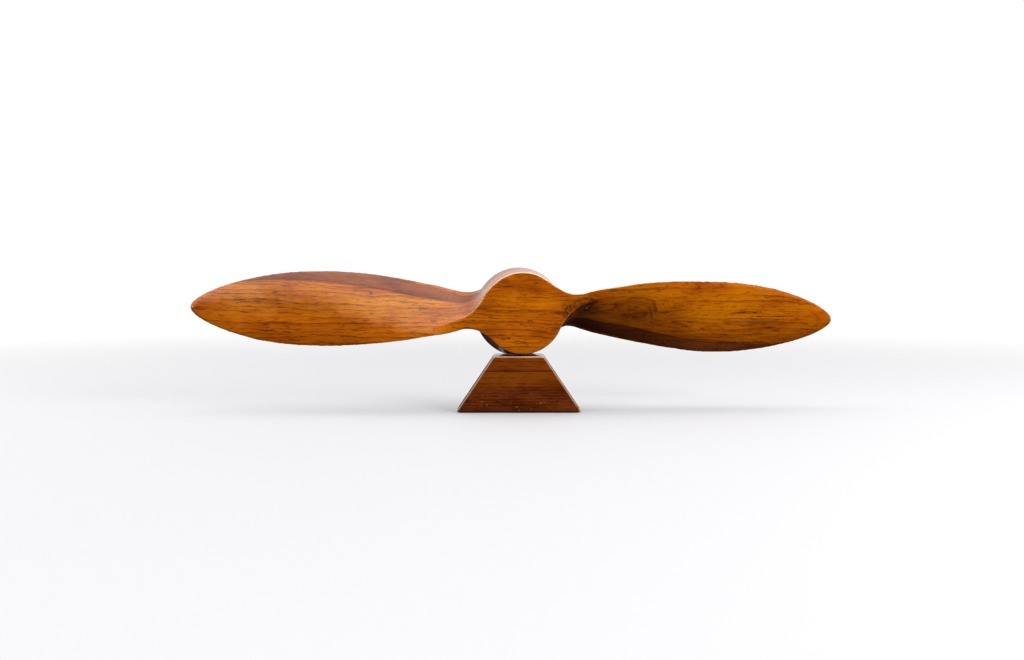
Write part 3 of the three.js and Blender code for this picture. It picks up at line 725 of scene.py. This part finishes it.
def split_board(src, name, y0, y1):
    """The part of the carved shape between two planes across its depth, as its own closed solid."""
    bm = bmesh.new()
    bm.from_mesh(src.data)
    for y, keep in ((y0, 1), (y1, -1)):
        if y is None:
            continue
        bmesh.ops.bisect_plane(bm, geom=bm.verts[:] + bm.edges[:] + bm.faces[:], plane_co=(0, y, 0),
                               plane_no=(0, keep, 0), clear_inner=True, dist=1e-5)
        edges = [e for e in bm.edges if e.is_boundary]
        res = bmesh.ops.holes_fill(bm, edges=edges, sides=0)
        for e in edges:
            e.smooth = False
        bmesh.ops.triangulate(bm, faces=res["faces"])
    # keep the one big body and drop any crumb that the cut leaves
    seen_, groups = set(), []
    for v in bm.verts:
        if v in seen_:
            continue
        stack, grp = [v], []
        seen_.add(v)
        while stack:
            q = stack.pop()
            grp.append(q)
            for e in q.link_edges:
                w = e.other_vert(q)
                if w not in seen_:
                    seen_.add(w)
                    stack.append(w)
        groups.append(grp)
    groups.sort(key=len)
    for grp in groups[:-1]:
        bmesh.ops.delete(bm, geom=grp, context="VERTS")
    me = bpy.data.meshes.new(name)
    bm.to_mesh(me)
    bm.free()
    o = bpy.data.objects.new(name, me)
    scene.collection.objects.link(o)
    return o


Y1, Y2, SEAM = -HD + FRONT_BOARD, HD - BACK_BOARD, 0.02
boards = {
    "propeller_front_board": split_board(body, "front_board", None, Y1 - SEAM),
    "propeller_middle_board": split_board(body, "middle_board", Y1 + SEAM, Y2 - SEAM),
    "propeller_back_board": split_board(body, "back_board", Y2 + SEAM, None),
}
remove(body)


def place_propeller(o, roll_back=True):
    """Writes the grain coordinates along the blades, then sets the piece in its place, in metres."""
    co = coords(o)
    r = math.radians(SET_ROLL)
    if roll_back:
        store(o, "grain", np.stack([co[:, 0] * math.cos(r) - co[:, 2] * math.sin(r), co[:, 1], co[:, 0] * math.sin(r) + co[:, 2] * math.cos(r)], 1))
    else:
        store(o, "grain", co)
    a = math.radians(SET_YAW)
    x = co[:, 0] * math.cos(a) - co[:, 1] * math.sin(a) + SCREW_X
    y = co[:, 0] * math.sin(a) + co[:, 1] * math.cos(a)
    set_coords(o, np.stack([x, y, co[:, 2] + HUB_Z], 1) * MM)


def place_plain(o, about=(0.0, 0.0, 0.0)):
    co = coords(o)
    store(o, "grain", co - np.array(about))
    set_coords(o, co * MM)


def dress(o, body_name, node, slot_name, mat):
    for p in o.data.polygons:
        p.use_smooth = True
    o.data.materials.clear()
    o.data.materials.append(mat)
    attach(o, body_name)
    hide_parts(node)


def sharpen(o, degrees):
    """Marks edges sharper than this, so that smooth shading stops at them."""
    bm = bmesh.new()
    bm.from_mesh(o.data)
    for e in bm.edges:
        if len(e.link_faces) == 2 and e.calc_face_angle(0.0) > math.radians(degrees):
            e.smooth = False
    bm.to_mesh(o.data)
    bm.free()


INK = (0.030, 0.008, 0.0015)
BROWN = (0.075, 0.018, 0.002)
MOSS = (0.060, 0.050, 0.022)
front_marks = [
    (118.6, 10.5, 126.6, -12.0, 1.0, 0.95, MOSS), (120.5, 5.0, 128.5, -6.0, 0.6, 0.6, INK),
    (99.5, 16.3, 116, 16.8, 1.3, 0.75, INK), (100.2, 10.5, 101.6, -5.0, 1.2, 0.55, BROWN), (103, 11.5, 114, 12.0, 1.5, 0.4, BROWN),
    (200, 4.2, 229, 4.8, 1.2, 0.9, INK), (217, 0.4, 262, 1.8, 1.1, 0.75, INK), (238, 20.3, 246, 20.5, 0.9, 0.7, BROWN),
    (186, -25.2, 243, -24.2, 1.1, 0.85, INK), (160, -20.6, 214, -19.4, 0.9, 0.5, BROWN), (191, -4.6, 247, -3.2, 2.3, 0.45, (0.16, 0.085, 0.03)),
    (142, -5.0, 159, -10.2, 2.6, 0.45, BROWN), (171.6, -11.6, 175.2, -12.2, 1.5, 0.8, INK),
    (52, 6.6, 71, 13.2, 3.4, 0.65, INK), (56, 13.5, 63, 16.0, 1.6, 0.55, INK), (72, 9.4, 90, 9.9, 1.1, 0.7, INK), (60, 2.0, 74, 8.0, 1.6, 0.55, BROWN),
    (39.8, 8.5, 41.2, -3.0, 1.5, 0.9, INK), (43.5, 9.0, 44.5, -1.0, 1.3, 0.85, INK), (46, 8, 53, 3, 2.2, 0.6, BROWN),
    (34.8, 1.3, 42.0, -4.8, 2.2, 0.6, BROWN), (53.2, 7.5, 57.6, 10.6, 2.2, 0.8, INK), (57.3, 2.9, 66.8, 7.6, 2.3, 0.8, INK),
    (62.4, 13.6, 67.6, 12.4, 1.9, 0.65, INK), (47.0, 10.6, 53.4, 13.8, 1.8, 0.6, BROWN), (35.5, 7.0, 38.5, 9.5, 1.6, 0.5, BROWN),
    (59.0, 5.2, 61.4, 6.4, 0.9, 0.8, (0.48, 0.25, 0.03)), (64.2, 4.2, 66.4, 5.4, 0.9, 0.8, (0.48, 0.25, 0.03)),
    (4.6, -7.0, 9.4, -7.8, 1.5, 0.85, INK), (-20, -24.2, -10, -23.4, 1.9, 0.75, INK), (-19, -21.6, -15, -21.0, 1.2, 0.5, BROWN),
    (9.0, 27.0, 12.5, 27.4, 2.4, 0.35, BROWN), (-8, 12.4, 6, 13.4, 1.0, 0.35, BROWN), (3, -29, 8, -31, 1.5, 0.4, BROWN),
    (-228, 13.8, -222.5, 14.3, 1.5, 0.75, INK), (-141.8, 15.4, -137.0, 14.6, 1.6, 0.75, INK), (-256, -14.0, -251, -15.6, 2.4, 0.4, (0.25, 0.13, 0.06)),
    (-84, -8.6, -79, -9.4, 1.7, 0.6, INK), (-238, -20.4, -222, -20.8, 1.3, 0.6, INK), (-166, -12.0, -120, -12.6, 0.8, 0.5, BROWN),
    (-252, 4.6, -215, 4.0, 0.8, 0.45, BROWN), (-150, -24.0, -196, -23.2, 0.9, 0.6, INK), (-96, 21.0, -66, 17.0, 2.4, 0.35, INK),
]
LIGHT = (0.80, 0.235, 0.0015)
front_patches = [
    (185, 8, 62, 15, 0.75, LIGHT), (235, 3, 45, 11, 0.45, LIGHT), (130, 18, 40, 8, 0.45, LIGHT), (-150, 4, 75, 14, 0.60, (0.64, 0.225, 0.0015)), (-98, 4, 52, 13, 0.55, (0.62, 0.225, 0.0010)), (-247, 8, 48, 13, 0.60, (0.56, 0.215, 0.030)),
    (-14, 12, 20, 14, 0.25, LIGHT), (22, 8, 20, 9, 0.35, LIGHT), (104, -2, 30, 11, 0.50, (0.130, 0.024, 0.0010)), (62, 5, 17, 8, 0.75, (0.070, 0.014, 0.0010)),
    (45, 4, 11, 9, 0.60, (0.090, 0.018, 0.0010)), (165, -24, 45, 6, 0.40, (0.120, 0.022, 0.0010)), (-185, -25, 80, 9, 0.42, (0.220, 0.040, 0.0008)),
]
front_knots = [(108, 3.0, 19, 11, 1.55, 0.20), (58, 9.0, 15, 8, 1.35, 0.60), (154, -9.0, 17, 7, 0.9, 0.15), (-140, 14.0, 12, 5, 0.8, 0.12), (10, 27, 9, 5, 0.9, 0.10)]
GOLD, GOLD_PALE, GOLD_DARK, GOLD_PORE = (0.50, 0.104, 0.0008), (0.64, 0.165, 0.0015), (0.230, 0.040, 0.0006), (0.055, 0.008, 0.0006)
timber = {
    "propeller_front_board": ("front_timber", wood("front_timber", GOLD, GOLD_PALE, GOLD_DARK, GOLD_PORE, (0.0, 40.0, 130.0), ring=5.2,
                                                   marks=front_marks, knots=front_knots, patches=front_patches, glue=(Y1,),
                                                   pores=0.58, streaks=0.5, painted_crest_highlight=0.9, feather=((Y1, (0.235, 0.050, 0.0060), 1.7, 0.85),))),
    "propeller_middle_board": ("middle_timber", wood("middle_timber", (0.215, 0.044, 0.0060), (0.280, 0.066, 0.0100), (0.105, 0.018, 0.0030), (0.042, 0.008, 0.0020),
                                                     (310.0, -85.0, 55.0), ring=6.5, tilt=0.2, ringing=0.35, pores=0.50, streaks=0.35, glue=(Y1, Y2), painted_crest_highlight=0.6,
                                                     # the two dark patches under the right blade's root are painted
                                                     # shade: the middle board's downward-facing underside is darkened
                                                     # in its colour where the lights leave it too bright
                                                     patches=((62, -13, 34, 14, 0.85, (0.040, 0.007, 0.002)), (108, -19, 36, 10, 0.65, (0.060, 0.010, 0.001))))),
    "propeller_back_board": ("back_timber", wood("back_timber", (0.42, 0.092, 0.0018), (0.53, 0.140, 0.0035), (0.185, 0.034, 0.0012), (0.052, 0.009, 0.0010),
                                                 (-420.0, 210.0, -75.0), ring=5.8, tilt=0.3, glue=(Y2,), pores=0.62, streaks=0.5, painted_crest_highlight=0.6)),
}
for node, o in boards.items():
    place_propeller(o)
    dress(o, "propeller", node, *timber[node])

# ------------------------------------------------------------------ the stand's three boards
def stand_ring(inset, y, e=STAND_EASE * 1.15, k=7, pitch=1.3):
    slope = (STAND_BOTTOM_W - STAND_TOP_W) / 2 / STAND_HEIGHT
    half = lambda z: STAND_BOTTOM_W / 2 - slope * z
    zb, zt = FELT_THICK + 0.05 + inset, STAND_HEIGHT - inset
    kk = math.hypot(1, slope)
    hb, ht = half(zb) - inset * kk, half(zt) - inset * kk
    c, out = [(-hb, zb), (hb, zb), (ht, zt), (-ht, zt)], []
    for i in range(4):
        p, a, b = np.array(c[i]), np.array(c[i - 1]), np.array(c[(i + 1) % 4])
        A = p + (a - p) / np.linalg.norm(a - p) * e
        B = p + (b - p) / np.linalg.norm(b - p) * e
        for j in range(k + 1):
            t = j / k
            out.append((1 - t) ** 2 * A + 2 * t * (1 - t) * p + t * t * B)
        nxt = c[(i + 1) % 4]
        a2, b2 = B, np.array(nxt) + (p - np.array(nxt)) / np.linalg.norm(p - np.array(nxt)) * e
        steps = [round(np.linalg.norm(np.array(c[1]) - np.array(c[0])) / pitch), 46, 36, 46][i]
        steps = (84, 46, 36, 46)[i]
        for j in range(1, steps):
            out.append(a2 + (b2 - a2) * j / steps)
    return np.stack([np.array(out)[:, 0], np.full(len(out), y), np.array(out)[:, 1]], 1)


def stand_block():
    d, e, rings = STAND_DEPTH / 2, STAND_EASE, []
    for j in range(8):
        t = math.pi / 2 * j / 7
        rings.append(stand_ring(e * (1 - math.sin(t)), -d + e * (1 - math.cos(t))))
    for y in np.linspace(-d + e, d - e, 27)[1:-1]:
        rings.append(stand_ring(0.0, y))
    for j in range(7, -1, -1):
        t = math.pi / 2 * j / 7
        rings.append(stand_ring(e * (1 - math.sin(t)), d - e * (1 - math.cos(t))))
    return loft("stand", rings)


stand = stand_block()
# the flat ends of the block get enough points to take the unevenness
rm = stand.modifiers.new("r", "REMESH")
rm.mode, rm.voxel_size, rm.adaptivity = "VOXEL", 0.6, 0.0
apply_modifiers(stand)
taubin(stand, 3)
co, nn = coords(stand), normals(stand)
free = np.clip((STAND_HEIGHT - co[:, 2]) / 1.5, 0, 1) * np.clip((co[:, 2] - FELT_THICK) / 1.5, 0, 1)
dents = np.zeros(len(co))
for dx, dy, dz, rad_, dep in ((-14, -18.5, 6.0, 1.6, .35), (-6, -18.5, 7.2, 1.2, .3), (4.5, -18.5, 8.6, 1.1, .25), (9, -18.5, 4.2, 1.0, .3), (-41, -18.0, 3.0, 1.8, .5),
                              (-27, -18.5, 9.5, .9, .25), (31, -18.4, 5.0, 1.2, .3), (54, -17.8, 3.2, 1.9, .6), (-55, 17.8, 3.4, 2.0, .6), (20, 18.5, 20, 1.6, .3),
                              (-24, -18.3, 31.5, .9, .3), (12.5, 18.4, 44, 1.5, .3), (-21.5, -17.8, 51.6, 1.6, .35), (23.0, 17.7, 51.4, 1.8, .4), (41, 10, 24, 1.6, .3)):
    q = ((co - np.array([dx, dy, dz])) ** 2).sum(1)
    dents += dep * np.exp(-q / (rad_ * rad_))
co += nn * (ripple(co, 8, 0.12, 14, 45) * free - dents * np.clip(free + 0.4, 0, 1))[:, None]
set_coords(stand, co)
store_convexity(stand)
boolean(stand, rod(SCREW_HOLE_D, -5, 80, SCREW_X), "DIFFERENCE")
boolean(stand, rod(COUNTERBORE_D, -5, COUNTERBORE_TOP, SCREW_X), "DIFFERENCE")


def stand_layer(name, z0, z1):
    o = bpy.data.objects.new(name, stand.data.copy())
    scene.collection.objects.link(o)
    boolean(o, block(-90, 90, -60, 60, z0, z1), "INTERSECT")
    sharpen(o, 32)
    print(name, len(o.data.vertices))
    return o


SG = 0.03
layers = {
    "stand_bottom_board": stand_layer("stand_bottom", -5, STAND_GLUE_Z[0] - SG),
    "stand_middle_board": stand_layer("stand_middle", STAND_GLUE_Z[0] + SG, STAND_GLUE_Z[1] - SG),
    "stand_top_board": stand_layer("stand_top", STAND_GLUE_Z[1] + SG, 90),
}
remove(stand)
stand_timber = {
    "stand_bottom_board": ("stand_dark_timber", wood("stand_dark_timber", (0.130, 0.021, 0.0020), (0.190, 0.038, 0.0045), (0.062, 0.009, 0.0015), (0.024, 0.004, 0.0010),
                                                     (900.0, 33.0, 7.0), ring=3.0, tilt=0.5, ringing=0.8, pores=0.75, streaks=0.6, wander=0.35, chips=0.75, rough=0.5, painted_crest_highlight=0.3)),
    "stand_middle_board": ("stand_golden_timber", wood("stand_golden_timber", (0.215, 0.042, 0.0012), (0.275, 0.064, 0.0025), (0.092, 0.016, 0.0010), (0.038, 0.006, 0.0008),
                                                       (-600.0, 71.0, 140.0), ring=4.2, tilt=0.8, ringing=0.55, pores=0.55, streaks=0.4, wander=0.35, chips=0.25, glue_z=(STAND_GLUE_Z[1],), painted_crest_highlight=0.3)),
    "stand_top_board": ("stand_brown_timber", wood("stand_brown_timber", (0.220, 0.041, 0.0015), (0.280, 0.062, 0.0030), (0.088, 0.015, 0.0010), (0.036, 0.006, 0.0008),
                                                   (1500.0, -90.0, -210.0), ring=3.8, tilt=-0.6, ringing=0.5, pores=0.45, streaks=0.4, wander=0.35, chips=0.2, glue_z=(STAND_GLUE_Z[1],), painted_crest_highlight=0.45)),
}
for node, o in layers.items():
    place_plain(o)
    dress(o, "stand", node, *stand_timber[node])

# ------------------------------------------------------------------ screw, washer and felt
metal = steel()
head_top = COUNTERBORE_TOP - GLUE_GAP - 1.2 - GLUE_GAP
head_low = head_top - 3.6
tip = STAND_HEIGHT + GLUE_GAP + SCREW_BITE
R = SCREW_D / 2


def screw():
    """A pan-head wood screw, seen from below up: domed head, plain shank, cut thread, gimlet point."""
    seg, hR, rings = 64, 5.0, []
    t = np.linspace(0, 2 * np.pi, seg, endpoint=False)
    ring = lambda r, z: rings.append(np.stack([r * np.cos(t), r * np.sin(t), np.full(seg, z)], 1))
    for a in np.linspace(0.0, 1.0, 10):
        ring(0.4 + (hR - 0.5) * math.sin(a * math.pi / 2), head_low + 1.9 * (1 - math.cos(a * math.pi / 2)))
    for a in np.linspace(0.15, 1.0, 5):
        ring(hR - 0.12 + 0.10 * math.sin(a * math.pi), head_low + 1.9 + (3.6 - 1.9 - 0.1) * a)
    ring(hR - 0.25, head_top)
    ring(R + 0.35, head_top)
    for a in np.linspace(0.2, 1, 4):
        ring(R + 0.35 * (1 - a) ** 2, head_top + 0.35 * a)
    z_thread, pitch, depth = STAND_HEIGHT - 8.0, 2.1, 0.62
    for z in np.arange(head_top + 2, z_thread, 3.0):
        ring(R, z)
    zs = np.arange(z_thread, tip - 0.02, 0.14)
    for z in zs:
        taper = min(1.0, (tip - z) / 7.0)
        start = min(1.0, (z - z_thread) / 2.0)
        ph = (z / pitch - t / (2 * np.pi)) % 1.0
        crest = np.clip(1 - np.abs(ph - 0.5) / 0.22, 0, 1)
        outer = R * (0.12 + 0.88 * taper ** 0.75)
        inner = max(outer - depth * start * min(1.0, taper * 1.4), 0.10)
        r = inner + (outer - inner) * crest
        rings.append(np.stack([r * np.cos(t), r * np.sin(t), np.full(seg, z)], 1))
    o = loft("screw", rings)
    slot_cut = block(-0.65, 0.65, -7, 7, head_low - 2, head_low + 1.5)
    boolean(o, slot_cut, "DIFFERENCE")
    sharpen(o, 40)
    return o


s_ = screw()
co = coords(s_)
store(s_, "grain", co)
yaw = math.radians(SET_YAW)
set_coords(s_, np.stack([co[:, 0] * math.cos(yaw) - co[:, 1] * math.sin(yaw) + SCREW_X, co[:, 0] * math.sin(yaw) + co[:, 1] * math.cos(yaw), co[:, 2]], 1) * MM)
dress(s_, "propeller", "stand_screw", "steel", metal)


def washer():
    z0, z1, ri, ro, e = COUNTERBORE_TOP - GLUE_GAP - 1.2, COUNTERBORE_TOP - GLUE_GAP, SCREW_HOLE_D / 2, 6.5, 0.22
    prof = []
    for (cx, cz, s0) in ((ro - e, z0 + e, -90), (ro - e, z1 - e, 0), (ri + e, z1 - e, 90), (ri + e, z0 + e, 180)):
        for k in range(5):
            q = math.radians(s0 + 90 * k / 4)
            prof.append((cx + e * math.cos(q), cz + e * math.sin(q)))
    t = np.linspace(0, 2 * np.pi, 72, endpoint=False)
    verts, n, m_ = [], len(prof), len(t)
    for r, z in prof:
        verts += [(r * math.cos(a), r * math.sin(a), z) for a in t]
    faces = [(i * m_ + k, i * m_ + (k + 1) % m_, ((i + 1) % n) * m_ + (k + 1) % m_, ((i + 1) % n) * m_ + k) for i in range(n) for k in range(m_)]
    o = mesh_object("washer", verts, faces)
    bm = bmesh.new()
    bm.from_mesh(o.data)
    bmesh.ops.recalc_face_normals(bm, faces=bm.faces)
    bm.to_mesh(o.data)
    bm.free()
    return o


w_ = washer()
co = coords(w_)
store(w_, "grain", co)
set_coords(w_, (co + np.array([SCREW_X, 0, 0])) * MM)
dress(w_, "stand", "screw_washer", "steel", metal)


def felt_piece():
    """The felt cut with rounded corners: flat underneath, its cut rim soft and a little frayed."""
    hw, hd, c = STAND_BOTTOM_W / 2 - FELT_INSET - 1.2, STAND_DEPTH / 2 - FELT_INSET, 2.5
    corner = []
    for cx, cy, s0 in ((hw - c, -hd + c, -90), (hw - c, hd - c, 0), (-hw + c, hd - c, 90), (-hw + c, -hd + c, 180)):
        for k in range(7):
            q = math.radians(s0 + 90 * k / 6)
            corner.append((cx + c * math.cos(q), cy + c * math.sin(q)))
    line = resample(corner, 560)
    nrm = np.roll(line, -1, 0) - np.roll(line, 1, 0)
    nrm = np.stack([nrm[:, 1], -nrm[:, 0]], 1) / np.hypot(*nrm.T)[:, None]
    rings = []
    e = 0.35
    prof = [(1.6, 0.0), (0.7, 0.0)] + [(e - e * math.sin(q), e - e * math.cos(q)) for q in np.linspace(0, math.pi / 2, 4)] + [(0.05, 0.75)] \
        + [(e - e * math.cos(q), FELT_THICK - e + e * math.sin(q)) for q in np.linspace(0, math.pi / 2, 4)] + [(0.7, FELT_THICK), (1.6, FELT_THICK)]
    for inset, z in prof:
        fray = rng.uniform(0.0, 0.16, len(line)) if 0 < z < FELT_THICK else 0.0
        q = line - nrm * (inset + fray)[..., None] if np.ndim(fray) else line - nrm * inset
        rings.append(np.stack([q[:, 0], q[:, 1], np.full(len(line), z)], 1))
    return loft("felt", rings)


f_ = felt_piece()
place_plain(f_)
dress(f_, "stand", "felt_pad", "felt", felt())
